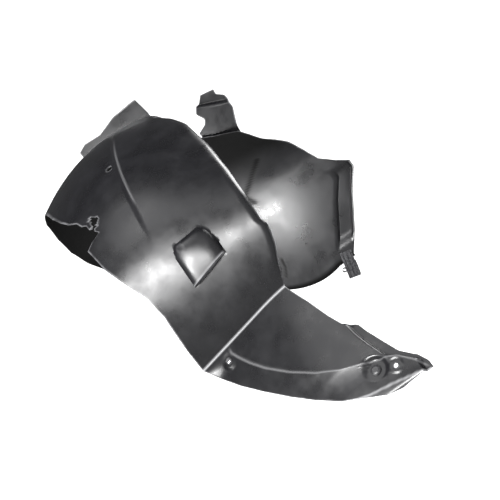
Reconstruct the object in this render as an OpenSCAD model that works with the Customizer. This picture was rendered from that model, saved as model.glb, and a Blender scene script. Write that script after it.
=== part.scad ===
// Front wheel arch liner: one thin moulded sheet that wraps over the wheel from a forward tongue,
// up the front leg, over the roof and down the rear leg, with its clip and two fasteners.
// X runs rearward, Y inboard and Z up. Stations are millimetres along the side profile from the
// fold between the tongue and the front leg: negative on the tongue, positive up and over the arch.

/* [Arch] */
// Radius of the arch over the wheel
arch_r = 340; // [320:1:360]
// Angle of the front fold below the wheel axis, at the outboard rim
fold_angle = -6; // [-8:0.5:-4]
// How far the fold drops towards the inboard rim
fold_skew = 8; // [4:0.5:10]
// Length of the straight rear leg under the wheel axis
rear_leg = 180; // [150:1:185]
// Thickness of the sheet
wall = 2.5; // [2:0.1:3]
// Rise of the roof's middle over the arch radius
crown = 14; // [8:1:18]
// Radius of the rolled shoulder along the outboard rim
shoulder = 14; // [8:1:18]

/* [Tongue] */
// Slope of the tongue down and forward
tongue_slope = 45; // [40:1:50]
// Drop of the bent front edge below the tongue's plane
tongue_edge_drop = 12; // [8:1:16]
// Step down to the strip along the tongue's outboard rim
tongue_strip_drop = 9; // [5:1:12]

/* [Scoop] */
// Height of the scoop over the front leg
scoop_h = 16; // [12:1:20]
// Half of its width
scoop_half = 43; // [38:1:46]
// Station of its lip
scoop_lip = 128; // [124:1:132]
// Station where it starts
scoop_top = 198; // [190:1:210]

/* [Holes] */
// Diameter of the screw hole in the roof's inboard part
screw_d = 12; // [8:0.5:13]
// Diameter of the holes for rivets
rivet_d = 8; // [6:0.5:9]

/* [Hidden] */

plastic = [0.20, 0.20, 0.21];
metal = [0.55, 0.55, 0.57];

mm_per_degree = arch_r * PI / 180;
blend_station = 300;
blend_angle = fold_angle - 3 + blend_station / mm_per_degree;
level_station = blend_station + (180 - blend_angle) * mm_per_degree;
foot_station = level_station + rear_leg;
foot_flange = 12;
foot_round = 0.00002;
foot_y = 65;
scoop_y = 111;
lip_skew = 11;
lip_reach = 36;
crown_y = 205;
screw_s = 435;
screw_y = 190;
screw_seat = [22, 17];
tongue_rivet_at = [-259, -56];
plug_seat = [27, 27];
plug_level = -3 - 0.34 * tongue_edge_drop;
tongue_hole_at = [-276, -92];
hole_seat = [16, 16];
hole_level = -0.19 * tongue_edge_drop;
edge_rivet_at = [-27, 184];
edge_seat = [17, 15];
edge_level = -2;
head_gap = 0.1;
seat_floor = 0.68;
seat_depth = 3;
step_h = 5;
step_y = [166, 180];
step_start = [210, 320];
step_end = [480, 620];
screw_level = crown - step_h - seat_depth - 0.3;
channel_h = 8;
channel_w = 50;
channel_s = [1124, 1142, 1260, 1282];
fold_y0 = 20;
fold_width = 222;
fold_ease = 60;

// Outboard rim: station along the profile, distance inboard of the wheel arch's edge
rim_out = [
    [-317, -148], [-300, -146], [-278, -134], [-270, -126], [-250, -108], [-221, -94], [-178, -74],
    [-156, -66], [-144, -44], [-112, -28], [-62, -8], [-12, 14], [0, 18], [20, 10], [50, -2],
    [75, -14], [100, -21], [118, -24], [137, -19], [198, -18], [272, -12], [368, 2], [408, 11],
    [481, 28], [520, 48], [560, 80], [620, 98], [755, 98], [868, 92], [882, 60], [891, 10],
    [914, -3], [945, -16], [971, -35], [1004, -51], [1034, -57], [1064, -65], [1088, -74],
    [1113, -101], [1131, -126], [1148, -126], [1190, -93], [1264, -46], [1307, -12], [1400, -12]
];

// Inboard rim, with the torn edge between stations 293 and 383
rim_in = [
    [-317, -82], [-312, -56], [-295, -24], [-264, 27], [-224, 69], [-179, 109],
    [-130, 149], [-79, 188], [-32, 219], [0, 240], [52, 238], [116, 234], [160, 241], [193, 258],
    [242, 281], [262, 286], [293, 295], [302, 279], [309, 257], [318, 264], [324, 262], [329, 273],
    [342, 276], [350, 286], [366, 294], [383, 312], [413, 330], [460, 350], [560, 381], [660, 415],
    [764, 436], [843, 445], [909, 441], [990, 436], [1060, 385], [1120, 340], [1160, 322],
    [1200, 290], [1320, 235]
];

// Guide lines that the columns of the mesh follow between the rims: the edge of the tongue's top,
// the scoop's outboard side and the channel's edge on one, and the tongue's crease, the scoop's
// inboard side and the step on the roof on the other
guide_out = [
    [-317, -132], [-310, -129], [-300, -126], [-278, -118], [-262, -104], [-244, -83], [-211, -67],
    [-178, -55], [-146, -46], [-130, -20], [-60, 40], [0, 75], [60, 68], [210, 68], [300, 90],
    [480, 125], [560, 160], [868, 170], [891, 90], [930, 70], [1034, 20], [1100, -40], [1131, -80],
    [1148, -80], [1190, -47], [1264, 0], [1320, 34]
];
guide_in = [
    [-317, -108], [-310, -103], [-300, -94], [-290, -82], [-270, -62], [-246, -52], [-233, -33],
    [-218, 1], [-189, 43], [-148, 85], [-100, 125], [-67, 147], [-42, 161], [-20, 168], [0, 165],
    [60, 154], [210, 154],
    [270, 175], [300, 181], [560, 181], [620, 250], [868, 300], [930, 290], [990, 280], [1060, 215],
    [1120, 150], [1200, 110], [1320, 110]
];
guide_v = [0.31, 0.67];

// Line where the tongue's flat top ends and its front edge bends down
tongue_crease = [
    [-317, -145], [-290, -128], [-262, -104], [-250, -81], [-233, -35], [-218, 1], [-189, 43],
    [-148, 85], [-100, 125], [-67, 147], [-42, 161], [-20, 172]
];

// Line where the tongue's top steps down to the strip along its outboard rim
tongue_step = [
    [-290, -130], [-262, -104], [-244, -81], [-211, -67], [-178, -55], [-143, -46], [-120, -60]
];

stations = concat(
    [-317, -311, -303, -294, -286, -278, -270, -263, -255, -248, -240, -232],
    [for (s = [-220 : 14 : -150]) s], [-146, -142],
    [for (s = [-130 : 18 : -58]) s], [-44, -36, -27, -18, -8, 0, 8],
    [for (s = [20 : 14 : 104]) s], [116, 122, 125, 129, 134], [for (s = [144 : 12 : 276]) s],
    [285, 293, 298, 302, 306, 309, 314, 318, 324, 329, 335, 342, 350, 358, 366, 375, 383, 392],
    [404, 413, 420, 427, 435, 443, 450, 457],
    [for (s = [476 : 18 : 566]) s], [for (s = [590 : 27 : 860]) s],
    [868, 876, 882, 887, 891, 902, 914, 930], [for (s = [948 : 18 : 1110]) s],
    [1120, 1131, 1142, 1154],
    [for (s = [1172 : 22 : 1282]) s], [foot_station - 4, foot_station + 3, foot_station + foot_flange]
);
columns = [
    0, 0.025, 0.055, 0.1, 0.16, 0.22, 0.26, 0.31, 0.325, 0.37, 0.43, 0.49, 0.55, 0.61, 0.65, 0.67,
    0.708, 0.726, 0.79, 0.85, 0.9, 0.95, 1
];

function clamp01(k) = min(1, max(0, k));
function ease(a, b, k) = let (q = clamp01((k - a) / (b - a))) q * q * (3 - 2 * q);
function mix(a, b, k) = a + (b - a) * k;

// Angle of the fold below the wheel axis at one distance inboard, bent smoothly at fold_y0
function fold_at(y) = let (k = y - fold_y0) fold_angle - fold_skew / fold_width * (
    k > fold_ease ? min(k, fold_width)
    : k < -fold_ease ? 0
    : pow(k + fold_ease, 2) / (4 * fold_ease)
);

// Angle round the wheel axis at one station of the arch
function angle_at(s, y) = s > blend_station
    ? blend_angle + (s - blend_station) / mm_per_degree
    : mix(fold_at(y), blend_angle, s / blend_station);

function on_arch(a) = arch_r * [-cos(a), sin(a)];

// Share of the rear leg's length at one distance inboard, for its rounded foot
function foot_at(y) = 1 - foot_round * pow(min(150, max(30, y)) - foot_y, 2);

// Side profile in X and Z
function profile(s, y) = s < 0
    ? on_arch(fold_at(y)) + s * [cos(tongue_slope), sin(tongue_slope)]
    : s < level_station ? on_arch(angle_at(s, y))
    : s < foot_station ? [arch_r, (level_station - s) * foot_at(y)]
    : [arch_r, -rear_leg * foot_at(y)] + (s - foot_station) * [0.5, -0.87];

// Turn about Y that stands +Z on the sheet's outside
function lean_at(s, y) = s < 0 ? -tongue_slope
    : s < level_station ? angle_at(s, y) - 90
    : s < foot_station ? 90 : 120;

// Raised and sunk forms of the sheet, as a height over the side profile
function crown_at(s, y) = let (away = y - crown_y, fall = away > 0 ? 0.0015 : 0.00135)
    (crown - fall * away * away) * ease(120, 420, s) * (1 - ease(900, 1080, s));
function shoulder_at(s, d) = let (k = clamp01(1 - d / shoulder))
    -0.7 * shoulder * (1 - sqrt(1 - k * k)) * ease(0, 60, s) * (1 - ease(840, 880, s));
function step_at(s, y) = -step_h * ease(step_y[0], step_y[1], y)
    * ease(step_start[0], step_start[1], s) * (1 - ease(step_end[0], step_end[1], s));
function scoop_at(s, y) = let (
    q = clamp01((s - scoop_lip) / (scoop_top - scoop_lip)),
    p = (y - scoop_y) / scoop_half,
    corner = mix(2, 6, ease(-0.6, 0.6, p))
)
    s < scoop_lip - 2 ? 0 : scoop_h * sqrt(max(0, 1 - pow(q, corner) - pow(abs(p), 4)));
function tongue_edge_at(s, y, b) = let (c = lookup(s, tongue_crease))
    -tongue_edge_drop * clamp01((y - c) / max(b - c, 5)) * (1 - ease(-40, -6, s));
function tongue_strip_at(s, y) =
    -tongue_strip_drop * ease(0, 5, lookup(s, tongue_step) - y) * (1 - ease(-150, -136, s));
function channel_at(s, d) = channel_h * ease(channel_s[0], channel_s[1], s)
    * (1 - ease(channel_s[2], channel_s[3], s))
    * ease(2, 8, d) * (1 - ease(channel_w - 10, channel_w, d));
function raised(s, y, a, b) =
    crown_at(s, y) + shoulder_at(s, y - a) + step_at(s, y) + scoop_at(s, y)
    + tongue_edge_at(s, y, b) + tongue_strip_at(s, y) + channel_at(s, y - a);

// Share of a flat seat at one place: 1 on its floor, 0 outside its rim
function seat_at(s, y, middle, half) =
    1 - ease(seat_floor, 1, norm([(s - middle[0]) / half[0], (y - middle[1]) / half[1]]));

function height(s, y, a, b) = let (
    screw_share = seat_at(s, y, [screw_s, screw_y], screw_seat),
    plug_share = seat_at(s, y, tongue_rivet_at, plug_seat),
    hole_share = seat_at(s, y, tongue_hole_at, hole_seat),
    rivet_share = seat_at(s, y, edge_rivet_at, edge_seat),
    with_screw = mix(raised(s, y, a, b), screw_level, screw_share),
    with_plug = mix(with_screw, plug_level, plug_share),
    with_rivet = mix(with_plug, edge_level, rivet_share)
) mix(with_rivet, hole_level, hole_share);

// Distance inboard at one share v of the width
function inboard(s, v) = let (a = lookup(s, guide_out), b = lookup(s, guide_in))
    v < guide_v[0] ? mix(lookup(s, rim_out), a, v / guide_v[0])
    : v < guide_v[1] ? mix(a, b, (v - guide_v[0]) / (guide_v[1] - guide_v[0]))
    : mix(b, lookup(s, rim_in), (v - guide_v[1]) / (1 - guide_v[1]));

// Station that a row of the mesh has at one distance inboard: rows bend along the scoop's lip
function bent(s, y) = s - lip_skew * clamp01((y - scoop_y) / (2 * scoop_half) + 0.5)
    * (1 - ease(scoop_y + scoop_half + 6, 220, y)) * (1 - clamp01(abs(s - scoop_lip) / lip_reach));

function outside(s, v) = let (
    y = inboard(s, v), t = bent(s, y), p = profile(t, y), n = lean_at(t, y),
    h = height(s, y, lookup(s, rim_out), lookup(s, rim_in))
) [p[0] + h * sin(n), y, p[1] + h * cos(n)];

// Unit normal of the outside, from neighbouring points
function facing(s, v) = let (
    e = 2, f = 0.01,
    along = outside(s + e, v) - outside(s - e, v),
    across = outside(s, min(1, v + f)) - outside(s, max(0, v - f)),
    n = cross(along, across)
) n / max(norm(n), 0.001);

// Point, and turn, of something set on the sheet
function seat(s, y) = let (p = profile(s, y)) [p[0], y, p[1]];
function bank_at(s, y) = s > 0 || y < fold_y0 + fold_ease || y > fold_y0 + fold_width ? 0
    : -atan(mm_per_degree * fold_skew / fold_width * cos(tongue_slope + fold_at(y)));
module on_sheet(s, y) translate(seat(s, y)) rotate([0, lean_at(s, y), 0])
    rotate([bank_at(s, y), 0, 0]) children();

// The origin is the screw hole's middle, so every piece is moved by this much
screw_at = seat(screw_s, screw_y);
screw_lean = lean_at(screw_s, screw_y);
screw_rise = screw_level - wall / 2;
origin = screw_at + screw_rise * [sin(screw_lean), 0, cos(screw_lean)];
module placed() translate(-origin) children();

module sheet() {
    rows = len(stations);
    cols = len(columns);
    outer = [for (s = stations) for (v = columns) outside(s, v)];
    inner = [for (s = stations) for (v = columns) outside(s, v) - wall * facing(s, v)];
    n = rows * cols;
    function id(r, c) = r * cols + c;
    polyhedron(
        points = concat(outer, inner),
        faces = concat(
            [for (r = [0 : rows - 2]) for (c = [0 : cols - 2]) each [
                [id(r, c), id(r + 1, c + 1), id(r + 1, c)],
                [id(r, c), id(r, c + 1), id(r + 1, c + 1)],
                [n + id(r, c), n + id(r + 1, c), n + id(r + 1, c + 1)],
                [n + id(r, c), n + id(r + 1, c + 1), n + id(r, c + 1)]
            ]],
            [for (r = [0 : rows - 2]) each [
                [id(r, 0), n + id(r + 1, 0), n + id(r, 0)],
                [id(r, 0), id(r + 1, 0), n + id(r + 1, 0)],
                [id(r, cols - 1), n + id(r, cols - 1), n + id(r + 1, cols - 1)],
                [id(r, cols - 1), n + id(r + 1, cols - 1), id(r + 1, cols - 1)]
            ]],
            [for (c = [0 : cols - 2]) each [
                [id(0, c), n + id(0, c), n + id(0, c + 1)],
                [id(0, c), n + id(0, c + 1), id(0, c + 1)],
                [id(rows - 1, c), n + id(rows - 1, c + 1), n + id(rows - 1, c)],
                [id(rows - 1, c), id(rows - 1, c + 1), n + id(rows - 1, c + 1)]
            ]]
        )
    );
}

// Upright plate in the plane of one X, from an outline of Y and Z
module upright(x, outline) translate([x, 0, 0]) rotate([90, 0, 90])
    linear_extrude(wall) polygon(outline);

// Tab at the roof's outboard rear corner, with its folded top
module roof_tab() {
    fold = [[50, 279], [57, 284], [-7, 254], [-7, 249]];
    upright(252, [
        [83, 214], [85, 232], [64, 240], [57, 250], [66, 268], [57, 284], [-7, 254], [-7, 236],
        [9, 200], [12, 168], [50, 195]
    ]);
    translate([252, 0, 0]) rotate([90, 0, 90]) linear_extrude(14) polygon(fold);
    upright(264, [[50, 279], [36, 295], [6, 289], [8, 278], [-6, 266], [-7, 249]]);
}

// Three-cornered flap that stands over the back of the roof
module roof_flap() upright(45, [
    [102, 334], [108, 379], [114, 380], [167, 377], [208, 364], [246, 367], [264, 359], [264, 343],
    [200, 348]
]);

module liner() color(plastic) placed() difference() {
    union() {
        sheet();
        roof_tab();
        roof_flap();
    }
    on_sheet(screw_s, screw_y) cylinder(h = 60, d = screw_d, center = true, $fn = 48);
    for (at = [tongue_rivet_at, tongue_hole_at, edge_rivet_at])
        on_sheet(at[0], at[1]) cylinder(h = 60, d = rivet_d, center = true, $fn = 48);
    // Gap behind the scoop's lip
    on_sheet(bent(scoop_lip - 2, scoop_y), scoop_y)
        rotate([0, 0, atan(lip_skew / (2 * scoop_half))])
        translate([0, 0, 7]) cube([14, 2 * scoop_half - 14, 9], center = true);
    // Wedge that is missing beside the torn edge
    on_sheet(335, 256) linear_extrude(60, center = true) polygon([[17, 5], [4, -11], [-15, 9]]);
}

// Folded spring clip over the rear foot's outboard corner
module sill_clip() {
    clip_w = 26;
    clip_l = 60;
    leaf = 1.5;
    gap = 16;
    front_x = arch_r - wall - leaf;
    color(metal) placed() translate([front_x, 0, -rear_leg + 14]) rotate([15, 0, 0]) {
        rotate([90, 0, 0]) linear_extrude(clip_w, center = true) polygon([
            [0, 0], [0, -clip_l], [gap, -clip_l], [gap, -clip_l + 32], [gap - leaf, -clip_l + 32],
            [gap - leaf, -clip_l + leaf], [leaf, -clip_l + leaf], [leaf, 0]
        ]);
        for (k = [-8 : 8 : 8]) translate([0, k, -clip_l + 4]) cylinder(h = clip_l - 10, d = 3, $fn = 32);
        translate([2, clip_w / 2 + 3, -clip_l + 22]) rotate([0, 90, 0]) difference() {
            cylinder(h = 8, d = 10, center = true, $fn = 48);
            cylinder(h = 10, d = 7, center = true, $fn = 48);
        }
    }
}

// Push rivet: shank, round head and raised centre
module rivet(head_d, head_h, shank_d) {
    translate([0, 0, -14]) cylinder(h = 14.5, d = shank_d, $fn = 48);
    rotate_extrude($fn = 64) polygon([
        [0, 0], [head_d / 2, 0], [head_d / 2, head_h * 0.45], [head_d * 0.4, head_h * 0.8],
        [head_d * 0.28, head_h], [0, head_h]
    ]);
}

module tongue_rivet() color(plastic) placed() on_sheet(tongue_rivet_at[0], tongue_rivet_at[1])
    translate([0, 0, plug_level + head_gap]) rivet(20, 4, rivet_d - 0.4);

module edge_rivet() color(metal) placed() on_sheet(edge_rivet_at[0], edge_rivet_at[1])
    translate([0, 0, edge_level + head_gap]) rivet(13, 4, rivet_d - 0.4);

liner();
sill_clip();
tongue_rivet();
edge_rivet();
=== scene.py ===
# %% [markdown]
# # A wheel arch liner in black moulded polypropylene
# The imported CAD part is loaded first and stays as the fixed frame. The liner's thin sheet is then
# made again from the same named values, on a much finer grid, with rounded edges, so that light
# runs along it as it does on moulded plastic. The clip and the rivets keep their CAD shape.

# %% Load the frame
import math
import bpy
import numpy as np
from mathutils import Matrix, Vector


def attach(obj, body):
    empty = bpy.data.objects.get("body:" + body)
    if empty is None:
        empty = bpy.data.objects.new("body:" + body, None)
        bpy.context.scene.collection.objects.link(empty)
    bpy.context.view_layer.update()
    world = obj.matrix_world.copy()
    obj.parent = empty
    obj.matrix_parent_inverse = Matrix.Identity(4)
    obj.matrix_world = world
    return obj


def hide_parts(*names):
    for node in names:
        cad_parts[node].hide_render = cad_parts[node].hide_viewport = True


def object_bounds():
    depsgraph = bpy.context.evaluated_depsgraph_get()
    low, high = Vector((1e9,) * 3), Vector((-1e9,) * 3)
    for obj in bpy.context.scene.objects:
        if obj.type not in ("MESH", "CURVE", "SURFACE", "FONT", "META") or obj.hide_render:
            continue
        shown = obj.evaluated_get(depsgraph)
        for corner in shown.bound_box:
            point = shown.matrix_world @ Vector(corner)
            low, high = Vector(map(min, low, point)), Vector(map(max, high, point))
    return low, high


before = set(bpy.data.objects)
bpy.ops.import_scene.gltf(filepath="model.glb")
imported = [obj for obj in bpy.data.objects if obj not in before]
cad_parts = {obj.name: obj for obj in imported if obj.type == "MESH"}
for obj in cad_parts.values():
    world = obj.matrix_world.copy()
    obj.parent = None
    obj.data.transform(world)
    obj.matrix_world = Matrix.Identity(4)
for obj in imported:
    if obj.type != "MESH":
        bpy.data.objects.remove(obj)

cad_box = [list(corner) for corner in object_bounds()]
print("CAD box", np.round(cad_box, 3).tolist())

# %% [markdown]
# ## The side profile
# Seen from the side, the sheet is a tongue that slopes down and forward, an arch over the wheel,
# and a straight rear leg with a short flange at its foot. A station s is the distance in mm along
# this profile from the fold between tongue and arch. Every formula takes whole arrays of s and y.

# %% Values of the profile, in mm
ARCH_R, FOLD_ANGLE, FOLD_SKEW, REAR_LEG = 340.0, -6.0, 8.0, 180.0
WALL, CROWN, SHOULDER, TONGUE_SLOPE = 2.5, 14.0, 14.0, 45.0
FOLD_Y0, FOLD_WIDTH, FOLD_EASE = 20.0, 222.0, 60.0
MM_PER_DEGREE = ARCH_R * math.pi / 180
BLEND_STATION = 300.0
BLEND_ANGLE = FOLD_ANGLE - 3 + BLEND_STATION / MM_PER_DEGREE
LEVEL_STATION = BLEND_STATION + (180 - BLEND_ANGLE) * MM_PER_DEGREE
FOOT_STATION = LEVEL_STATION + REAR_LEG
FOOT_FLANGE = 12.0


def ease(a, b, k):
    """Smooth step from 0 at a to 1 at b: 3q^2 - 2q^3 of the share q covered."""
    q = np.clip((k - a) / (b - a), 0, 1)
    return q * q * (3 - 2 * q)


def mix(a, b, k):
    """Straight blend from a to b."""
    return a + (b - a) * k


def fold_at(y):
    """Angle of the fold below the axle: level at first, then dropping, joined by a parabola."""
    k = y - FOLD_Y0
    soft = (k + FOLD_EASE) ** 2 / (4 * FOLD_EASE)
    run = np.where(k > FOLD_EASE, np.minimum(k, FOLD_WIDTH), np.where(k < -FOLD_EASE, 0, soft))
    return FOLD_ANGLE - FOLD_SKEW / FOLD_WIDTH * run


def angle_at(s, y):
    """Angle round the axle: even steps past the blend, and stretched to meet the fold before it."""
    near = mix(fold_at(y), BLEND_ANGLE, s / BLEND_STATION)
    return np.where(s > BLEND_STATION, BLEND_ANGLE + (s - BLEND_STATION) / MM_PER_DEGREE, near)


def foot_at(y):
    """Share of the rear leg's length: a parabola that rounds the foot."""
    return 1 - 0.00002 * (np.clip(y, 30, 150) - 65) ** 2


def profile(s, y):
    """X and Z of the profile: straight tongue, circular arch, straight leg, slanted flange."""
    f, a = np.radians(fold_at(y)), np.radians(angle_at(s, y))
    slope = math.radians(TONGUE_SLOPE)
    leg = (np.minimum(s, FOOT_STATION) - LEVEL_STATION) * foot_at(y)
    past = np.maximum(s - FOOT_STATION, 0)
    x = np.where(s < 0, -ARCH_R * np.cos(f) + s * math.cos(slope),
                 np.where(s < LEVEL_STATION, -ARCH_R * np.cos(a), ARCH_R + 0.5 * past))
    z = np.where(s < 0, ARCH_R * np.sin(f) + s * math.sin(slope),
                 np.where(s < LEVEL_STATION, ARCH_R * np.sin(a), -leg - 0.87 * past))
    return x, z


def lean_at(s, y):
    """Turn about Y, in radians, that stands +Z on the sheet's outside."""
    leg = np.where(s < FOOT_STATION, 90.0, 120.0)
    arch = np.where(s < LEVEL_STATION, angle_at(s, y) - 90, leg)
    return np.radians(np.where(s < 0, -TONGUE_SLOPE, arch))


print("stations run to", round(FOOT_STATION + FOOT_FLANGE, 1), "mm")

# %% [markdown]
# ## The rims and guide lines
# Across the wheel, the sheet is bounded by two rims. Two guide lines lie between them, so that
# the columns of the grid follow the creases and steps. Between the four lines, a share v from
# 0 to 1 runs across the sheet. The inboard rim is torn between stations 293 and 383.

# %% Rims and guides, as pairs of station and distance inboard
RIM_OUT = np.array([
    [-317, -148], [-300, -146], [-278, -134], [-270, -126], [-250, -108], [-221, -94], [-178, -74],
    [-156, -66], [-144, -44], [-112, -28], [-62, -8], [-12, 14], [0, 18], [20, 10], [50, -2],
    [75, -14], [100, -21], [118, -24], [137, -19], [198, -18], [272, -12], [368, 2], [408, 11],
    [481, 28], [520, 48], [560, 80], [620, 98], [755, 98], [868, 92], [882, 60], [891, 10],
    [914, -3], [945, -16], [971, -35], [1004, -51], [1034, -57], [1064, -65], [1088, -74],
    [1113, -101], [1131, -126], [1148, -126], [1190, -93], [1264, -46], [1307, -12], [1400, -12]
], float)
RIM_IN = np.array([
    [-317, -82], [-312, -56], [-295, -24], [-264, 27], [-224, 69], [-179, 109],
    [-130, 149], [-79, 188], [-32, 219], [0, 240], [52, 238], [116, 234], [160, 241], [193, 258],
    [242, 281], [262, 286], [293, 295], [302, 279], [309, 257], [318, 264], [324, 262], [329, 273],
    [342, 276], [350, 286], [366, 294], [383, 312], [413, 330], [460, 350], [560, 381], [660, 415],
    [764, 436], [843, 444], [909, 441], [990, 436], [1060, 385], [1120, 340], [1160, 322],
    [1200, 290], [1320, 235]
], float)
GUIDE_OUT = np.array([
    [-317, -132], [-310, -129], [-300, -126], [-278, -118], [-262, -104], [-244, -83], [-211, -67],
    [-178, -55], [-146, -46], [-130, -20], [-60, 40], [0, 75], [60, 68], [210, 68], [300, 90],
    [480, 125], [560, 160], [868, 170], [891, 90], [930, 70], [1034, 20], [1100, -40], [1131, -80],
    [1148, -80], [1190, -47], [1264, 0], [1320, 34]
], float)
GUIDE_IN = np.array([
    [-317, -108], [-310, -103], [-300, -94], [-290, -82], [-270, -62], [-246, -52], [-233, -33],
    [-218, 1], [-189, 43], [-148, 85], [-100, 125], [-67, 147], [-42, 161], [-20, 168], [0, 165],
    [60, 154], [210, 154],
    [270, 175], [300, 181], [560, 181], [620, 250], [868, 300], [930, 290], [990, 280], [1060, 215],
    [1120, 150], [1200, 110], [1320, 110]
], float)
GUIDE_V = (0.31, 0.67)
TONGUE_CREASE = np.array([
    [-317, -145], [-290, -128], [-262, -104], [-250, -81], [-233, -35], [-218, 1], [-189, 43],
    [-148, 85], [-100, 125], [-67, 147], [-42, 161], [-20, 172]
], float)
TONGUE_STEP = np.array([
    [-290, -130], [-262, -104], [-244, -81], [-211, -67], [-178, -55], [-143, -46], [-120, -60]
], float)


def lookup(s, line):
    """Height of a broken line at s, held level past its ends."""
    return np.interp(s, line[:, 0], line[:, 1])


def inboard(s, v):
    """Distance inboard at share v: a straight blend between the two lines on either side of v."""
    a, b = lookup(s, GUIDE_OUT), lookup(s, GUIDE_IN)
    g0, g1 = GUIDE_V
    first = mix(lookup(s, RIM_OUT), a, v / g0)
    middle = mix(a, b, (v - g0) / (g1 - g0))
    last = mix(b, lookup(s, RIM_IN), (v - g1) / (1 - g1))
    return np.where(v < g0, first, np.where(v < g1, middle, last))


print("widest row", round(float(np.ptp(inboard(843.0, np.array([0.0, 1.0])))), 1), "mm")

# %% [markdown]
# ## Raised and sunk forms
# Each form is a height in mm over the profile: the roof's crown, the rolled outboard shoulder,
# a step on the roof, the air scoop, the tongue's bent edge and its lower strip, and the channel
# down the rear leg. The four fixing points have flat seats.

# %% Values of the forms
SCREW, SCREW_SEAT = (435.0, 190.0), (22.0, 17.0)
PLUG, PLUG_SEAT = (-259.0, -56.0), (27.0, 27.0)
TONGUE_HOLE, HOLE_SEAT = (-276.0, -92.0), (16.0, 16.0)
EDGE_RIVET, EDGE_SEAT, EDGE_LEVEL = (-27.0, 184.0), (17.0, 15.0), -2.0
SCOOP_LIP, SCOOP_TOP, SCOOP_Y, SCOOP_HALF, SCOOP_H = 128.0, 198.0, 111.0, 43.0, 16.0
LIP_SKEW, LIP_REACH = 11.0, 36.0
STEP_H, SEAT_DEPTH, SEAT_FLOOR = 5.0, 3.0, 0.68
EDGE_DROP, STRIP_DROP, CHANNEL_H, CHANNEL_W = 12.0, 9.0, 8.0, 50.0
SCREW_LEVEL = CROWN - STEP_H - SEAT_DEPTH - 0.3
PLUG_LEVEL = -3 - 0.34 * EDGE_DROP
HOLE_LEVEL = -0.19 * EDGE_DROP


def scoop_at(s, y):
    """Hood: the height times the root of 1 - q^corner - p^4, open along its lip."""
    q = np.clip((s - SCOOP_LIP) / (SCOOP_TOP - SCOOP_LIP), 0, 1)
    p = (y - SCOOP_Y) / SCOOP_HALF
    corner = mix(2, 6, ease(-0.6, 0.6, p))
    dome = np.sqrt(np.maximum(0, 1 - q ** corner - np.abs(p) ** 4))
    return np.where(s < SCOOP_LIP - 2, 0, SCOOP_H * dome)


def seat_at(s, y, middle, half):
    """Share of a flat seat: 1 on its floor, falling to 0 at the rim of an ellipse."""
    return 1 - ease(SEAT_FLOOR, 1, np.hypot((s - middle[0]) / half[0], (y - middle[1]) / half[1]))


def height(s, y):
    """Sum of the raised and sunk forms, then levelled on the four seats."""
    a, b, c = lookup(s, RIM_OUT), lookup(s, RIM_IN), lookup(s, TONGUE_CREASE)
    away = y - 205.0
    crown = (CROWN - np.where(away > 0, 0.0015, 0.00135) * away ** 2)
    crown = crown * ease(120, 420, s) * (1 - ease(900, 1080, s))
    k = np.clip(1 - (y - a) / SHOULDER, 0, 1)
    shoulder = -0.7 * SHOULDER * (1 - np.sqrt(1 - k * k)) * ease(0, 60, s) * (1 - ease(840, 880, s))
    step = -STEP_H * ease(166, 180, y) * ease(210, 320, s) * (1 - ease(480, 620, s))
    edge = -EDGE_DROP * np.clip((y - c) / np.maximum(b - c, 5), 0, 1) * (1 - ease(-40, -6, s))
    strip = -STRIP_DROP * ease(0, 5, lookup(s, TONGUE_STEP) - y) * (1 - ease(-150, -136, s))
    channel = CHANNEL_H * ease(1124, 1142, s) * (1 - ease(1260, 1282, s))
    channel = channel * ease(2, 8, y - a) * (1 - ease(CHANNEL_W - 10, CHANNEL_W, y - a))
    h = crown + shoulder + step + scoop_at(s, y) + edge + strip + channel
    h = mix(h, SCREW_LEVEL, seat_at(s, y, SCREW, SCREW_SEAT))
    h = mix(h, PLUG_LEVEL, seat_at(s, y, PLUG, PLUG_SEAT))
    h = mix(h, EDGE_LEVEL, seat_at(s, y, EDGE_RIVET, EDGE_SEAT))
    return mix(h, HOLE_LEVEL, seat_at(s, y, TONGUE_HOLE, HOLE_SEAT))


def bent(s, y):
    """Station after the rows have been bent to run along the scoop's slanted lip."""
    share = np.clip((y - SCOOP_Y) / (2 * SCOOP_HALF) + 0.5, 0, 1)
    share = share * (1 - ease(SCOOP_Y + SCOOP_HALF + 6, 220, y))
    return s - LIP_SKEW * share * (1 - np.clip(np.abs(s - SCOOP_LIP) / LIP_REACH, 0, 1))


def outside(s, y):
    """Point on the outside, in mm from the wheel's centre: profile plus height along its normal."""
    t = bent(s, y)
    x, z = profile(t, y)
    n, h = lean_at(t, y), height(s, y)
    return np.stack([x + h * np.sin(n), y + 0 * x, z + h * np.cos(n)], axis=-1)


# The frame's origin is the screw hole's middle, halfway through the sheet.
screw_x, screw_z = profile(*np.array(SCREW))
screw_lean = float(lean_at(*np.array(SCREW)))
rise = SCREW_LEVEL - WALL / 2
ORIGIN = np.array([float(screw_x) + rise * math.sin(screw_lean), SCREW[1],
                   float(screw_z) + rise * math.cos(screw_lean)])
print("origin from the wheel's centre, mm", np.round(ORIGIN, 2).tolist())

# %% [markdown]
# ## The fine grid
# Rows are stations and columns are shares v. Rows lie on every bend, at most 4.6 mm apart.
# Round holes come from the grid itself: near a hole, square rings of vertices are drawn out to
# circles, and the faces inside the ring of the hole's radius are left out.

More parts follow.
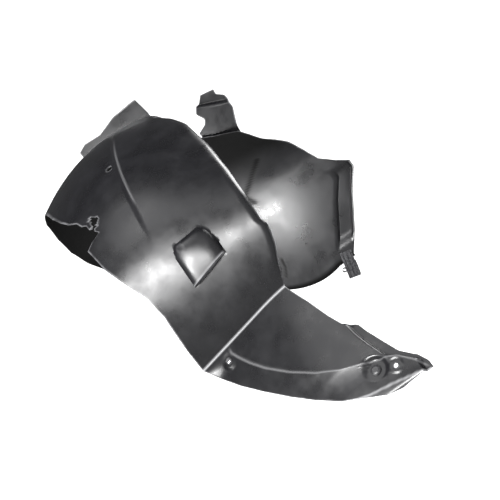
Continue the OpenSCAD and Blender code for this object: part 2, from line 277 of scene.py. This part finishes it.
# %% Rows and columns
BENDS = [
    -317, -311, -303, -294, -286, -278, -270, -263, -255, -248, -240, -232, -220, -178, -150, -146,
    -142, -112, -62, -22, -8, -4, -2, 0, 2, 4, 8, 20, 50, 76, 104, 116, 122, 125.4, 126.6, 129, 134,
    198, 242, 276, 285, 293, 298, 302, 306, 309, 314, 318, 324, 329, 335, 342, 350, 358, 366, 375,
    383, 392, 404, 413, 457, 476, 520, 560, 620, 755, 860, 868, 876, 882, 887, 891, 902, 914, 930,
    948, 1034, 1064, 1088, 1113, 1120, 1131, 1142, 1154, 1190, 1260, 1282, FOOT_STATION - 4,
    FOOT_STATION, FOOT_STATION + 4, FOOT_STATION + FOOT_FLANGE
]
SHARES = [0, 0.01, 0.025, 0.04, 0.055, 0.08, 0.1, 0.16, 0.22, 0.26, 0.31, 0.325, 0.37, 0.43, 0.49,
          0.55, 0.61, 0.65, 0.663, 0.67, 0.677, 0.69, 0.71, 0.73, 0.79, 0.85, 0.9, 0.95, 1]
SCREW_R, RIVET_HOLE_R = 6.0, 4.0
HOLES = [(SCREW, SCREW_R), (PLUG, RIVET_HOLE_R), (TONGUE_HOLE, RIVET_HOLE_R),
         (EDGE_RIVET, RIVET_HOLE_R)]
LONGEST_ROW_STEP, LONGEST_SHARE_STEP = 4.6, 0.0145
LEAST_ROW_STEP, LEAST_BY_RING, LEAST_SHARE_BY_RING = 0.45, 0.7, 0.0025
LIP_CUT, LIP_CUT_ENDS = (125.4, 126.6), 4


def filled(values, step):
    """Adds even steps, none longer than step, between the given values."""
    values = np.unique(np.round(values, 5))
    parts = [np.linspace(a, b, int(np.ceil((b - a) / step)), endpoint=False)
             for a, b in zip(values[:-1], values[1:])]
    return np.concatenate(parts + [values[-1:]])


def share_at(s0, y0):
    """Share v whose column passes through y0 at station s0."""
    v = np.linspace(0, 1, 4001)
    return np.interp(y0, inboard(s0, v), v)


ring = np.array([-3, -2, -1, -2 / 3, -1 / 3, 0, 1 / 3, 2 / 3, 1, 2, 3])
rows, shares = list(BENDS), list(SHARES)
for (s0, y0), r in HOLES:
    rows += list(s0 + r * ring)
    shares += list(share_at(s0, y0 + r * ring[2:9]))
rows = filled([x for x in rows if x <= FOOT_STATION + FOOT_FLANGE], LONGEST_ROW_STEP)
shares = filled(shares, LONGEST_SHARE_STEP)
rows = rows[np.append(True, np.diff(rows) > LEAST_ROW_STEP)]
print(len(rows), "rows and", len(shares), "columns")

# %% [markdown]
# Dropping rows that crowd each other could drop a hole's own ring, so the rows of the rings are
# put back, and the neighbours that crowd them go instead.

# %% Keep the rings, thin the rest
def thinned(values, fixed, least):
    """Removes values closer than least to a fixed one, then adds the fixed ones."""
    fixed = np.unique(np.round(fixed, 5))
    near = np.abs(values[:, None] - fixed[None, :]).min(axis=1)
    return np.unique(np.concatenate([values[near > least], fixed]))


ring_rows = np.concatenate([s0 + r * ring[2:9] for (s0, _), r in HOLES] + [[0, *LIP_CUT]])
rows = thinned(rows, ring_rows, LEAST_BY_RING)
ring_shares = np.concatenate([share_at(s0, y0 + r * ring[2:9]) for (s0, y0), r in HOLES])
ring_shares = np.unique(np.round(ring_shares, 6))
shares = thinned(shares, np.concatenate([ring_shares, GUIDE_V, [0, 1]]), LEAST_SHARE_BY_RING)
S, V = np.meshgrid(rows, shares, indexing="ij")
Y = inboard(S, V)
keep = np.ones((len(rows) - 1, len(shares) - 1), bool)
for (s0, y0), r in HOLES:
    straight = inboard(np.full_like(V, s0), V)
    reach = np.maximum(np.abs(S - s0), np.abs(straight - y0))
    free = ease(r, 3 * r, reach)
    Y = straight + (Y - straight) * np.where(reach < 3 * r, free, 1)
    ds, dy = S - s0, Y - y0
    round_off = np.maximum(np.abs(ds), np.abs(dy)) / np.maximum(np.hypot(ds, dy), 1e-6)
    factor = mix(round_off, 1, free)
    S, Y = s0 + ds * factor, y0 + dy * factor
    inner = reach <= r + 0.02
    keep &= ~(inner[:-1, :-1] & inner[1:, :-1] & inner[:-1, 1:] & inner[1:, 1:])
print("faces left out for holes", int((~keep).sum()))

# %% [markdown]
# Two more openings: the slot under the scoop's lip, and the wedge that is missing beside the
# torn edge. Where faces that are left out meet only at a corner, all faces there go, so that the
# edge of the sheet is one clean loop.

# %% Lip and wedge
face_s = (S[:-1, :-1] + S[1:, 1:]) / 2
face_y = (Y[:-1, :-1] + Y[1:, 1:]) / 2
in_lip = (face_s > LIP_CUT[0]) & (face_s < LIP_CUT[1])
in_lip &= np.abs(face_y - SCOOP_Y) < SCOOP_HALF - LIP_CUT_ENDS
WEDGE = np.array([[352, 261], [339, 245], [320, 265]], float)


def inside_triangle(s, y, corners):
    """True where a point is on the inner side of all three sides."""
    signs = []
    for (s1, y1), (s2, y2) in zip(corners, np.roll(corners, -1, axis=0)):
        signs.append((s2 - s1) * (y - y1) - (y2 - y1) * (s - s1))
    signs = np.array(signs)
    return (signs > 0).all(axis=0) | (signs < 0).all(axis=0)


keep &= ~in_lip & ~inside_triangle(face_s, face_y, WEDGE)
for _ in range(8):
    pad = np.pad(keep, 1)
    a, b, c, d = pad[:-1, :-1], pad[1:, :-1], pad[:-1, 1:], pad[1:, 1:]
    crossing = (a & d & ~b & ~c) | (b & c & ~a & ~d)
    keep &= ~(crossing[:-1, :-1] | crossing[1:, :-1] | crossing[:-1, 1:] | crossing[1:, 1:])
print("corner crossings left", int(crossing.sum()))

# %% [markdown]
# ## From one surface to a sheet with a wall
# A moulded sheet has two faces and a rounded edge. The outer face is the grid, the inner one is
# the same grid moved in along its normals, and the edge is a half round from one to the other.
# The half round makes the thin bright line that marks every rim of such a part.

# %% Build a walled sheet from a grid of points
def unit(v):
    """Each vector divided by its length."""
    return v / np.maximum(np.linalg.norm(v, axis=-1, keepdims=True), 1e-12)


def walled(points, kept, wall, matt=0.0, lines=0.0, arc=(30, 60, 90, 120, 150)):
    """Vertices, quads, rim mask, painted-shade mask and painted-highlight mask of a closed sheet. Outer
    face: the grid. Inner face: the grid less wall times its normal. Rim: at each angle of the arc, the
    middle of the wall plus half the wall times (cosine along the normal, sine away from the sheet). The
    painted-shade mask, from matt, is on the inner face and rises to it round the rim. The painted
    highlight lines, from lines, are on the outer face and fade round the rim."""
    nr, nc = points.shape[:2]
    ids = np.arange(nr * nc).reshape(nr, nc)
    quads = np.stack([ids[:-1, :-1], ids[1:, :-1], ids[1:, 1:], ids[:-1, 1:]], axis=-1)[kept]
    p = points.reshape(-1, 3)
    diagonals = np.cross(p[quads[:, 2]] - p[quads[:, 0]], p[quads[:, 3]] - p[quads[:, 1]])
    normals = np.zeros_like(p)
    np.add.at(normals, quads.ravel(), np.repeat(diagonals, 4, axis=0))
    normals = unit(normals)
    ends = np.stack([quads, np.roll(quads, -1, axis=1)], axis=-1).reshape(-1, 2)
    key = np.sort(ends, axis=1)
    _, which, count = np.unique(key[:, 0] * len(p) + key[:, 1], return_inverse=True,
                                return_counts=True)
    border = ends[count[which.ravel()] == 1]
    away = np.zeros_like(p)
    along = unit(p[border[:, 1]] - p[border[:, 0]])
    out = unit(np.cross(along, normals[border[:, 0]]))
    np.add.at(away, border.ravel(), np.repeat(out, 2, axis=0))
    away = unit(away - normals * (away * normals).sum(axis=1, keepdims=True))
    rim = np.unique(border)
    p = p.copy()
    p[rim] -= away[rim] * wall / 2
    inner = p - wall * normals
    middle = p[rim] - normals[rim] * wall / 2
    turn = np.radians(arc)
    bands = [middle + wall / 2 * (math.cos(t) * normals[rim] + math.sin(t) * away[rim]) for t in turn]
    n = len(p)
    place = np.full(n, -1)
    place[rim] = np.arange(len(rim))
    levels = [border]
    levels += [2 * n + k * len(rim) + place[border] for k in range(len(arc))]
    levels += [n + border]
    sides = [np.stack([a[:, 1], a[:, 0], b[:, 0], b[:, 1]], axis=1)
             for a, b in zip(levels[:-1], levels[1:])]
    verts = np.concatenate([p, inner] + bands)
    faces = np.concatenate([quads, n + quads[:, ::-1]] + sides)
    on_rim = np.zeros(len(verts))
    on_rim[rim] = on_rim[n + rim] = 1
    on_rim[2 * n:] = 1
    share = np.broadcast_to(matt, points.shape[:2]).ravel()
    under = np.concatenate([0 * share, share] + [share[rim] * t / 180 for t in arc])
    drawn = np.broadcast_to(lines, points.shape[:2]).ravel()
    crease = np.concatenate([drawn, 0 * drawn] + [drawn[rim] * (180 - t) / 180 for t in arc])
    return verts, faces, on_rim, under, crease


def packed(verts, faces, *values):
    """Drops the vertices that no face uses."""
    used = np.unique(faces)
    new = np.full(len(verts), -1)
    new[used] = np.arange(len(used))
    return (verts[used], new[faces]) + tuple(v[used] for v in values)


tile = np.zeros((3, 3, 3))
tile[..., 0], tile[..., 1] = np.mgrid[0:30:10, 0:30:10]
tile_faces = walled(tile, np.ones((2, 2), bool), WALL)[1]
print("a tile of 4 quads becomes", len(tile_faces), "faces, with its wall and rim")

# %% [markdown]
# ## The roof's bracket and flap
# Behind the roof stands a bracket whose top is folded back, and a three-cornered flap. Both are
# cut from the same sheet. Each is a ruled surface: straight lines between a left and a right
# edge, and these edges are broken lines with slightly rounded corners.

# %% Bracket and flap as ruled surfaces
def edge_line(corners, count):
    """Points at even distances along a broken line, with its corners softened a little."""
    corners = np.array(corners, float)
    run = np.append(0, np.cumsum(np.linalg.norm(np.diff(corners, axis=0), axis=1)))
    t = np.linspace(0, run[-1], count)
    line = np.stack([np.interp(t, run, c) for c in corners.T], axis=1)
    for _ in range(2):
        line[1:-1] = (line[:-2] + 2 * line[1:-1] + line[2:]) / 4
    return line


def ruled(left, right, count):
    """Straight lines from the left edge to the right edge."""
    u = np.linspace(0, 1, count)[None, :, None]
    return left[:, None, :] * (1 - u) + right[:, None, :] * u


BRACKET_X, BRACKET_TOP_X = 254.5, 266.5
bracket_left = edge_line([[BRACKET_X, 13, 170], [BRACKET_X, 9, 200], [BRACKET_X, -7, 236],
                          [BRACKET_X, -7, 250], [BRACKET_TOP_X, -7, 252], [BRACKET_TOP_X, -6, 266],
                          [BRACKET_TOP_X, 8, 278], [BRACKET_TOP_X, 6, 289]], 70)
bracket_right = edge_line([[BRACKET_X, 14, 169], [BRACKET_X, 50, 195], [BRACKET_X, 83, 214],
                           [BRACKET_X, 85, 232], [BRACKET_X, 64, 240], [BRACKET_X, 57, 250],
                           [BRACKET_X, 66, 268], [BRACKET_X, 57, 281], [BRACKET_TOP_X, 56, 282],
                           [BRACKET_TOP_X, 50, 281], [BRACKET_TOP_X, 36, 295]], 110)
left_bend = np.argmax(bracket_left[:, 0] > (BRACKET_X + BRACKET_TOP_X) / 2)
right_bend = np.argmax(bracket_right[:, 0] > (BRACKET_X + BRACKET_TOP_X) / 2)


def matched(line, bend, below, above):
    """The same line with a set number of points below and above its bend."""
    low = np.linspace(0, bend, below)
    high = np.linspace(bend, len(line) - 1, above + 1)[1:]
    at = np.concatenate([low, high])
    return np.stack([np.interp(at, np.arange(len(line)), c) for c in line.T], axis=1)


bracket = ruled(matched(bracket_left, left_bend, 60, 24), matched(bracket_right, right_bend, 60, 24), 24)
FLAP_X = 45.0
flap_y = np.linspace(103, 264, 60)
flap_low = np.interp(flap_y, [102, 200, 264], [334, 348, 343])
flap_high = np.interp(flap_y, [102, 108, 114, 167, 208, 246, 264], [336, 379, 380, 377, 364, 367, 359])
flap = ruled(np.stack([0 * flap_y + FLAP_X, flap_y, flap_high], axis=1),
             np.stack([0 * flap_y + FLAP_X, flap_y, flap_low], axis=1), 16)
print("bracket", bracket.shape, "flap", flap.shape)

# %% [markdown]
# ## Put the liner together
# The sheet, the bracket and the flap become one mesh, in metres and in the frame's place. Three numbers
# are kept on each vertex for the material. The first is whether it is on a rim. The second is the
# painted shade: it makes the inner face of the tongue and most of the arch, and the foot's flange, near
# black and matt, and it also darkens lines and a dot on the rear panel. The third is the painted
# highlight: pale lines along the sharp folds and edges.

# %% Mesh of the liner
def make_piece(name, verts, faces):
    """Mesh object from arrays of vertices, in metres, and of quads."""
    mesh = bpy.data.meshes.new(name)
    mesh.from_pydata(verts.tolist(), [], faces.tolist())
    mesh.validate()
    mesh.polygons.foreach_set("use_smooth", np.ones(len(mesh.polygons), bool))
    mesh.update()
    piece = bpy.data.objects.new(name, mesh)
    bpy.context.scene.collection.objects.link(piece)
    return piece


def bell(distance, half):
    """1 on a line, falling smoothly to 0 at half on either side."""
    return 1 - ease(0, half, np.abs(distance))


def line_distance(s, y, corners):
    """Distance in the sheet from each point to the nearest part of a broken line."""
    nearest = np.full(s.shape, 1e9)
    for (s1, y1), (s2, y2) in zip(corners[:-1], corners[1:]):
        ds, dy = s2 - s1, y2 - y1
        along = np.clip(((s - s1) * ds + (y - y1) * dy) / (ds * ds + dy * dy), 0, 1)
        nearest = np.minimum(nearest, np.hypot(s - s1 - along * ds, y - y1 - along * dy))
    return nearest


TIP_LINE = [(-278, 8), (-291, -26), (-297, -56), (-302, -79), (-311, -112), (-316, -133)]
PANEL_LINE = [(1005, 29), (1042, 73), (1057, 95), (1064, 102), (1086, 95)]
PANEL_CURVE = [(1228, 122), (1250, 126), (1275, 137)]
SCOOP_MARK, SCOOP_MARK_R, PANEL_DOT = (183, 133), 7, (1226, 134)
LIP_LINE_S, STEP_LINE_Y = 127.6, 167
FOLD_PALE, CREASE_PALE, LIP_PALE, STEP_PALE, TIP_PALE, RING_PALE = 0.6, 0.14, 0.4, 0.12, 0.3, 0.05
PANEL_LINE_DARKNESS, SHADE_ENDS = 0.9, (960, 1060)
# Pale painted highlights where folds and edges catch the light: lines along the fold, the tongue's
# crease, the scoop's lip, the roof's step and the tongue's tip, and a faint ring on the scoop.
fold_line = bell(S, 3.4)
crease_line = bell(Y - lookup(S, TONGUE_CREASE), 4.5) * ease(-316, -300, S) * (1 - ease(-20, -5, S))
lip_line = bell(S - LIP_LINE_S, 2.2) * (np.abs(Y - SCOOP_Y) < SCOOP_HALF)
step_line = bell(Y - STEP_LINE_Y, 3.5) * ease(300, 330, S) * (1 - ease(430, 540, S))
tip_line = bell(line_distance(S, Y, TIP_LINE), 3.5)
scoop_ring = bell(np.hypot(S - SCOOP_MARK[0], Y - SCOOP_MARK[1]) - SCOOP_MARK_R, 3)
marks = FOLD_PALE * fold_line + CREASE_PALE * crease_line + LIP_PALE * lip_line + STEP_PALE * step_line
marks = np.clip(marks + TIP_PALE * tip_line + RING_PALE * scoop_ring, 0, 1)
panel_marks = bell(line_distance(S, Y, PANEL_LINE), 8) + bell(line_distance(S, Y, PANEL_CURVE), 7)
panel_marks += bell(np.hypot(S - PANEL_DOT[0], Y - PANEL_DOT[1]), 6)
# Painted shade on the inner face: near black and matt over the tongue and most of the arch, fading out
# from station 960 to 1060, and again on the foot's flange. The rear panel's lines and dot are darkened
# too.
shade_and_panel_lines = 1 - ease(*SHADE_ENDS, S) + ease(FOOT_STATION - 1, FOOT_STATION + 1, S)
shade_and_panel_lines = np.clip(shade_and_panel_lines + PANEL_LINE_DARKNESS * panel_marks, 0, 1)
parts = [packed(*walled(outside(S, Y), keep, WALL, shade_and_panel_lines, marks))]
for grid in (bracket, flap):
    parts.append(packed(*walled(grid, np.ones(np.array(grid.shape[:2]) - 1, bool), WALL)))
starts = np.cumsum([0] + [len(part[0]) for part in parts[:-1]])
verts = (np.concatenate([part[0] for part in parts]) - ORIGIN) / 1000
faces = np.concatenate([part[1] + start for part, start in zip(parts, starts)])
rims, shade_and_line_values, creases = (np.concatenate([part[k] for part in parts]) for k in (2, 3, 4))
liner = make_piece("moulded_liner", verts, faces)
SHARP_ANGLE = 50
liner.data.set_sharp_from_angle(angle=math.radians(SHARP_ANGLE))
liner.data.attributes.new("rim", "FLOAT", "POINT").data.foreach_set("value", rims)
liner.data.attributes.new("under", "FLOAT", "POINT").data.foreach_set("value", shade_and_line_values)
liner.data.attributes.new("crease", "FLOAT", "POINT").data.foreach_set("value", creases)
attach(liner, "root")
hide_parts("liner")
print("liner:", len(liner.data.polygons), "faces, box", np.round(verts.min(0), 3),
      np.round(verts.max(0), 3))

# %% [markdown]
# ## Materials
# Colours are written as the eye sees them, as sRGB hex, and one function turns them to the linear
# values that the shader wants. One small function adds a node with its settings and its links.

# %% Helpers for materials
def linear(code):
    """sRGB hex to linear red, green, blue and alpha."""
    c = np.array([int(code[i:i + 2], 16) / 255 for i in (1, 3, 5)])
    c = np.where(c <= 0.04045, c / 12.92, ((c + 0.055) / 1.055) ** 2.4)
    return (*c.tolist(), 1.0)


def add(tree, kind, inputs=(), **settings):
    """Adds a node, sets its properties, and fills its inputs with values or links."""
    made = tree.nodes.new(kind)
    for key, value in settings.items():
        setattr(made, key, value)
    for key, value in dict(inputs).items():
        if isinstance(value, bpy.types.NodeSocket):
            tree.links.new(value, made.inputs[key])
        else:
            made.inputs[key].default_value = value
    return made


def blank(name):
    """New material with an empty tree and a shader wired to its output."""
    material = bpy.data.materials.new(name)
    material.use_nodes = True
    tree = material.node_tree
    tree.nodes.clear()
    shader = add(tree, "ShaderNodeBsdfPrincipled")
    add(tree, "ShaderNodeOutputMaterial", {"Surface": shader.outputs[0]})
    return material, tree, shader


def noise(tree, place, scale, detail, roughness=0.5):
    """Noise whose features are about 1 / scale metres wide."""
    return add(tree, "ShaderNodeTexNoise", {"Vector": place, "Scale": scale, "Detail": detail,
                                            "Roughness": roughness}).outputs["Fac"]


def ramp(tree, factor, stops):
    """Colour ramp through (position, grey) stops."""
    made = add(tree, "ShaderNodeValToRGB", {"Fac": factor})
    for end, (at, grey) in zip(made.color_ramp.elements, (stops[0], stops[-1])):
        end.position = at
        end.color = (grey,) * 3 + (1,)
    for at, grey in stops[1:-1]:
        made.color_ramp.elements.new(at).color = (grey,) * 3 + (1,)
    return made.outputs["Color"]


print("sRGB #808080 is", round(linear("#808080")[0], 3), "in linear light")

# %% [markdown]
# ### Black moulded polypropylene
# The liner is injection-moulded polypropylene, pigmented black. Its skin is glossy where it lay against
# polished steel, but the thin wall shrinks unevenly as it cools, so reflections break up into soft waves
# about 60 mm wide and sink marks about 18 mm wide. A dull bloom comes and goes over about 55 mm, and the
# skin's grain is about half a millimetre. The rims are a patchy paler grey: scuffs, with a painted
# highlight. Pale lines along the folds and edges are painted highlights. The wheel side and the foot's
# flange get painted shade, near black and matt.
# The index of refraction of polypropylene is 1.49.

# %% Liner material
def polypropylene():
    """Black polypropylene: dark base, blotchy gloss, gentle sink marks, scuffed rims with a painted
    highlight, painted highlight lines on the folds, and painted shade, near black and matt, on the wheel
    side.
    """
    material, tree, shader = blank("black_polypropylene_moulded")
    place = add(tree, "ShaderNodeTexCoord").outputs["Object"]
    warp = noise(tree, place, 16.0, 1.0)
    blotch = noise(tree, place, 55.0, 0.0)
    grain = noise(tree, place, 1800.0, 1.0)
    bloom = noise(tree, place, 18.0, 3.0, 0.6)
    rim = add(tree, "ShaderNodeAttribute", attribute_name="rim").outputs["Fac"]
    under = add(tree, "ShaderNodeAttribute", attribute_name="under").outputs["Fac"]
    crease = add(tree, "ShaderNodeAttribute", attribute_name="crease").outputs["Fac"]
    # Rims: a patchy paler grey, which is scuffing with a painted highlight.
    scuff_and_rim_highlight = add(tree, "ShaderNodeMath", {0: rim, 1: ramp(tree, blotch, [(0.35, 0.3), (0.6, 1.0)])},
               operation="MULTIPLY").outputs[0]
    dusty = ramp(tree, bloom, [(0.42, 0.0), (0.72, 0.35)])
    colour = add(tree, "ShaderNodeMixRGB", {"Fac": dusty, "Color1": linear("#0e0e10"),
                                            "Color2": linear("#1b1b1e")}).outputs[0]
    colour = add(tree, "ShaderNodeMixRGB", {"Fac": scuff_and_rim_highlight, "Color1": colour,
                                            "Color2": linear("#565658")}).outputs[0]
    # Pale painted highlight lines along the folds and edges.
    colour = add(tree, "ShaderNodeMixRGB", {"Fac": crease, "Color1": colour,
                                            "Color2": linear("#b4b4b6")}).outputs[0]
    # Painted shade: near black on the wheel side and the foot's flange, and on the rear panel's lines.
    # The same mask makes them rougher and less shiny below.
    colour = add(tree, "ShaderNodeMixRGB", {"Fac": under, "Color1": colour,
                                            "Color2": linear("#070707")}).outputs[0]
    gloss = add(tree, "ShaderNodeMapRange", {"Value": bloom, "From Min": 0.3, "From Max": 0.7,
                                             "To Min": 0.23, "To Max": 0.4}).outputs[0]
    gloss = add(tree, "ShaderNodeMath", {0: under, 1: 0.45, 2: gloss},
                operation="MULTIPLY_ADD").outputs[0]
    shine = add(tree, "ShaderNodeMath", {0: under, 1: -0.4, 2: 0.5},
                operation="MULTIPLY_ADD").outputs[0]
    waves = add(tree, "ShaderNodeBump", {"Height": warp, "Strength": 0.09, "Distance": 0.004}).outputs[0]
    sinks = add(tree, "ShaderNodeBump", {"Height": blotch, "Strength": 0.08, "Distance": 0.0006,
                                         "Normal": waves}).outputs[0]
    skin = add(tree, "ShaderNodeBump", {"Height": grain, "Strength": 0.05, "Distance": 0.00004,
                                        "Normal": sinks}).outputs[0]
    tree.links.new(shine, shader.inputs["Specular IOR Level"])
    tree.links.new(colour, shader.inputs["Base Color"])
    tree.links.new(gloss, shader.inputs["Roughness"])
    tree.links.new(skin, shader.inputs["Normal"])
    shader.inputs["IOR"].default_value = 1.49
    return material


liner.data.materials.append(polypropylene())
print("materials", [m.name for m in liner.data.materials])

# %% [markdown]
# ### Steel and nylon
# The clip is spring steel with a dull phosphate coat, the small rivet is zinc plated, and the plug
# is black nylon. Metals keep the default index of refraction.

# %% Materials of the small parts
def coated(name, dark, light, metallic, rough, scale):
    """Metal or plastic whose colour and roughness vary with fine noise of the given scale."""
    material, tree, shader = blank(name)
    place = add(tree, "ShaderNodeTexCoord").outputs["Object"]
    cloud = noise(tree, place, scale, 4.0)
    share = ramp(tree, cloud, [(0.35, 0.0), (0.65, 1.0)])
    colour = add(tree, "ShaderNodeMixRGB", {"Fac": share, "Color1": linear(dark),
                                            "Color2": linear(light)}).outputs[0]
    gloss = add(tree, "ShaderNodeMapRange", {"Value": cloud, "From Min": 0.3, "From Max": 0.7,
                                             "To Min": rough, "To Max": rough + 0.12}).outputs[0]
    skin = add(tree, "ShaderNodeBump", {"Height": cloud, "Strength": 0.2, "Distance": 0.0003}).outputs[0]
    tree.links.new(colour, shader.inputs["Base Color"])
    tree.links.new(gloss, shader.inputs["Roughness"])
    tree.links.new(skin, shader.inputs["Normal"])
    shader.inputs["Metallic"].default_value = metallic
    return material


finishes = {
    "sill_clip": coated("phosphated_spring_steel", "#2c2c2e", "#4e4e50", 0.8, 0.34, 260.0),
    "tongue_rivet": coated("black_nylon_moulded", "#1c1c1d", "#2b2b2d", 0.0, 0.28, 500.0),
    "edge_rivet": coated("zinc_plated_steel", "#9a9a9c", "#c4c4c6", 1.0, 0.25, 400.0),
}
for node_name, finish in finishes.items():
    node_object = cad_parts[node_name]
    node_object.data.materials.clear()
    node_object.data.materials.append(finish)
print("finished", sorted(finishes))

# %% [markdown]
# ## Camera
# The photograph looks at the liner from the front and a little above, with the part rolled in the
# picture, through a long lens about 4 m away. The three directions of the camera were found by
# fitting the sheet's rims to the picture.

# %% Camera
RIGHT = np.array([0.0562, -0.8010, -0.5960])
UP = np.array([0.2140, -0.5734, 0.7909])
BACK = np.array([-0.9752, -0.1720, 0.1392])
LENS_PX, AIM_PX, IMAGE_PX, SENSOR_MM = 2016.0, (290.6, 224.0), 500, 36.0
CAMERA_FAR = 4.0
eye = BACK * CAMERA_FAR - ORIGIN / 1000
across = (IMAGE_PX / 2 - AIM_PX[0]) / LENS_PX
down = (IMAGE_PX / 2 - AIM_PX[1]) / LENS_PX
back = unit(BACK - RIGHT * across + UP * down)
right = unit(np.cross(UP, back))
up = np.cross(back, right)
camera_data = bpy.data.cameras.new("photo_camera")
camera_data.sensor_width = SENSOR_MM
camera_data.lens = LENS_PX / IMAGE_PX * SENSOR_MM
camera_data.clip_end = 50
camera = bpy.data.objects.new("photo_camera", camera_data)
bpy.context.scene.collection.objects.link(camera)
camera.matrix_world = Matrix([[right[i], up[i], back[i], eye[i]] for i in range(3)] + [[0, 0, 0, 1]])
bpy.context.scene.camera = camera
print("lens", round(camera_data.lens, 1), "mm, eye", np.round(eye, 3).tolist())

# %% [markdown]
# ## Floor, world and lights
# The picture has a plain near-white ground, so the floor sweeps up, 8 m behind the part, into a
# low backdrop and shows no horizon. The world is brighter ahead of the part than behind it, which
# gives the plastic its dark grey and darker tops. Soft boxes draw the broad bright patches. A wide
# soft sun, left out of reflections, lights the ground to white.

# %% Floor that sweeps up into a backdrop
GROUND_GAP, FLOOR_HALF = 0.35, 12.0
FLOOR_Z = cad_box[0][2] - GROUND_GAP
AHEAD = unit(np.array([-BACK[0], -BACK[1], 0.0]))
ASIDE = np.array([-AHEAD[1], AHEAD[0], 0.0])
SWEEP_START, SWEEP_R, WALL_TOP = 8.0, 3.0, 4.0
turn = np.radians(np.linspace(0, 90, 25))
run = np.concatenate([[-FLOOR_HALF], np.linspace(-6, SWEEP_START, 5)[:-1],
                      SWEEP_START + SWEEP_R * np.sin(turn), [SWEEP_START + SWEEP_R]])
rise = np.concatenate([[0.0] * 5, SWEEP_R - SWEEP_R * np.cos(turn), [WALL_TOP]])
sides = np.array([-FLOOR_HALF, FLOOR_HALF])
sweep = run[:, None, None] * AHEAD + sides[None, :, None] * ASIDE
sweep[:, :, 2] = FLOOR_Z + rise[:, None]
cell = np.arange(2 * len(run)).reshape(-1, 2)
floor = make_piece("studio_floor", sweep.reshape(-1, 3),
                   np.stack([cell[:-1, 0], cell[1:, 0], cell[1:, 1], cell[:-1, 1]], axis=1))
pale, pale_tree, pale_shader = blank("pale_floor")
pale_shader.inputs["Base Color"].default_value = linear("#f6f6f6")
pale_shader.inputs["Roughness"].default_value = 0.9
floor.data.materials.append(pale)
floor.visible_glossy = False
print("floor", len(floor.data.vertices), "vertices, at z", round(FLOOR_Z, 3), "m")

# %% World and lights
bpy.context.scene.view_settings.view_transform = "Standard"
world = bpy.data.worlds.new("studio")
bpy.context.scene.world = world
world.use_nodes = True
sky = world.node_tree
sky.nodes.clear()
way = add(sky, "ShaderNodeTexCoord").outputs["Generated"]
rearward = add(sky, "ShaderNodeSeparateXYZ", {"Vector": way}).outputs["X"]
power = add(sky, "ShaderNodeMapRange", {"Value": rearward, "From Min": -0.5, "From Max": 0.1,
                                        "To Min": 0.6, "To Max": 0.1}).outputs[0]
seen = add(sky, "ShaderNodeBackground", {"Color": (1, 1, 1, 1), "Strength": 1.0}).outputs[0]
lit = add(sky, "ShaderNodeBackground", {"Color": (1, 1, 1, 1), "Strength": power}).outputs[0]
direct = add(sky, "ShaderNodeLightPath").outputs["Is Camera Ray"]
both = add(sky, "ShaderNodeMixShader", {0: direct, 1: lit, 2: seen}).outputs[0]
add(sky, "ShaderNodeOutputWorld", {"Surface": both})


def soft_box(name, centre_mm, aim_mm, size_mm, watts):
    """Area light at a place given in mm from the wheel's centre, turned to face its aim."""
    data = bpy.data.lights.new(name, "AREA")
    data.shape, data.size, data.size_y = "RECTANGLE", size_mm[0] / 1000, size_mm[1] / 1000
    data.energy = watts
    lamp = bpy.data.objects.new(name, data)
    place, aim = (Vector((np.array(c, float) - ORIGIN) / 1000) for c in (centre_mm, aim_mm))
    turned = (aim - place).to_track_quat("-Z", "Z").to_matrix().to_4x4()
    lamp.matrix_world = Matrix.Translation(place) @ turned
    lamp.visible_camera = False
    bpy.context.scene.collection.objects.link(lamp)
    return lamp


soft_box("front_inboard_box", (-2840, 1400, 1260), (-320, 200, 80), (620, 2000), 225)
soft_box("top_box", (-900, 420, 1700), (-200, 150, 200), (700, 600), 5)
soft_box("outboard_box", (813, -1197, 927), (-200, 10, 290), (1300, 700), 42)
soft_box("rear_leg_box", (-60, 170, 30), (337, 60, 70), (280, 30), 3.2)
SUN_STRENGTH, SUN_WIDTH = 4.5, 80
sun_data = bpy.data.lights.new("ground_light", "SUN")
sun_data.energy, sun_data.angle = SUN_STRENGTH, math.radians(SUN_WIDTH)
ground_light = bpy.data.objects.new("ground_light", sun_data)
ground_light.location = (0, 0, 3)
ground_light.visible_glossy = False
bpy.context.scene.collection.objects.link(ground_light)
